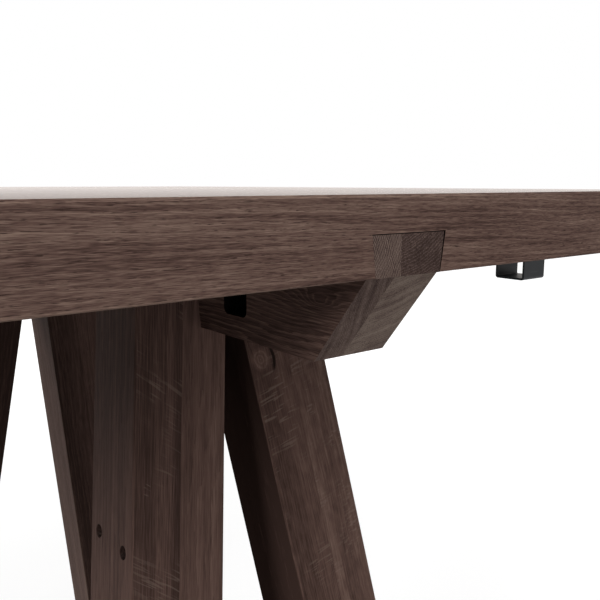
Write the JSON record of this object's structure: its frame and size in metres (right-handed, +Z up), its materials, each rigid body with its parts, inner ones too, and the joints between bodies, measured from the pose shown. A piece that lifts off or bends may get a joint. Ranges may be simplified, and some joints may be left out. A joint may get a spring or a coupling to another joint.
{
  "type": "trestle dining table",
  "caption": "Solid wood dining table: thick board top on splayed sawhorse trestles, with dovetailed battens and steel guides for extension leaf arms.",
  "frame": {"origin": "on the floor, under the middle of the top", "axes": "+X along the table, +Y across it from the front edge to the rear edge, +Z up"},
  "size_m": [2.2, 0.8996, 0.74],
  "materials": {
    "top_wood": "oiled dark oak, satin",
    "batten_wood": "oiled dark oak, satin",
    "leg_wood": "oiled dark oak, satin",
    "guide_steel": "black powder coat",
    "fastener_steel": "blackened steel",
    "glide_plastic": "dark matte plastic"
  },
  "bodies": {
    "root": {"top_board_1": "top_wood", "top_board_2": "top_wood", "top_board_3": "top_wood", "top_board_4": "top_wood", "top_board_5": "top_wood", "top_board_6": "top_wood", "top_board_7": "top_wood", "batten_left_a": "batten_wood", "batten_left_b": "batten_wood", "batten_right_a": "batten_wood", "batten_right_b": "batten_wood", "leg_left_front_inner_a": "leg_wood", "leg_left_front_inner_b": "leg_wood", "leg_left_front_outer_a": "leg_wood", "leg_left_front_outer_b": "leg_wood", "leg_left_rear_inner_a": "leg_wood", "leg_left_rear_inner_b": "leg_wood", "leg_left_rear_outer_a": "leg_wood", "leg_left_rear_outer_b": "leg_wood", "leg_right_front_inner_a": "leg_wood", "leg_right_front_inner_b": "leg_wood", "leg_right_front_outer_a": "leg_wood", "leg_right_front_outer_b": "leg_wood", "leg_right_rear_inner_a": "leg_wood", "leg_right_rear_inner_b": "leg_wood", "leg_right_rear_outer_a": "leg_wood", "leg_right_rear_outer_b": "leg_wood", "leg_bolts_left": "fastener_steel", "barrel_nuts_left": "fastener_steel", "foot_glides_left": "glide_plastic", "guide_left_front": "guide_steel", "guide_left_rear": "guide_steel", "guide_screws_left": "fastener_steel", "leg_bolts_right": "fastener_steel", "barrel_nuts_right": "fastener_steel", "foot_glides_right": "glide_plastic", "guide_right_front": "guide_steel", "guide_right_rear": "guide_steel", "guide_screws_right": "fastener_steel", "batten_screws": "fastener_steel"}
  },
  "joints": []
}
